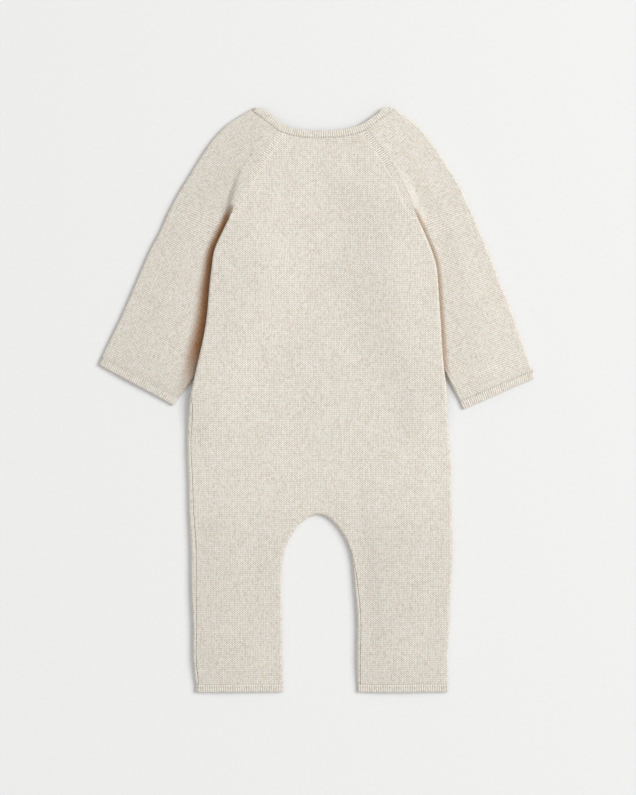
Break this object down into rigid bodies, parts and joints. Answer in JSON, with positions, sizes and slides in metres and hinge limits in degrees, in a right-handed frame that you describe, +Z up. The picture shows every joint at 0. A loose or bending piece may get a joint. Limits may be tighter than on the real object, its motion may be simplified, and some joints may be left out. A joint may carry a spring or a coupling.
{
  "type": "baby romper",
  "caption": "Knitted baby romper with long raglan sleeves, long legs and ribbed neckband, cuffs and hems, laid flat with its back up.",
  "frame": {"origin": "on the surface that the garment lies on, below the middle of its outline", "axes": "+Y along the garment from the hems to the neck, +X towards the sleeve on the right as seen from above, +Z up, out of the garment's back"},
  "size_m": [0.4014, 0.5382, 0.0118],
  "materials": {
    "jersey_knit": "matt fine-gauge melange knit",
    "rib_knit": "matt ribbed melange knit"
  },
  "bodies": {
    "root": {"back_panel": "jersey_knit", "front_panel": "jersey_knit", "sleeve_left": "jersey_knit", "sleeve_right": "jersey_knit", "neckband": "rib_knit", "cuff_left": "rib_knit", "cuff_right": "rib_knit", "hem_left": "rib_knit", "hem_right": "rib_knit"}
  },
  "joints": []
}
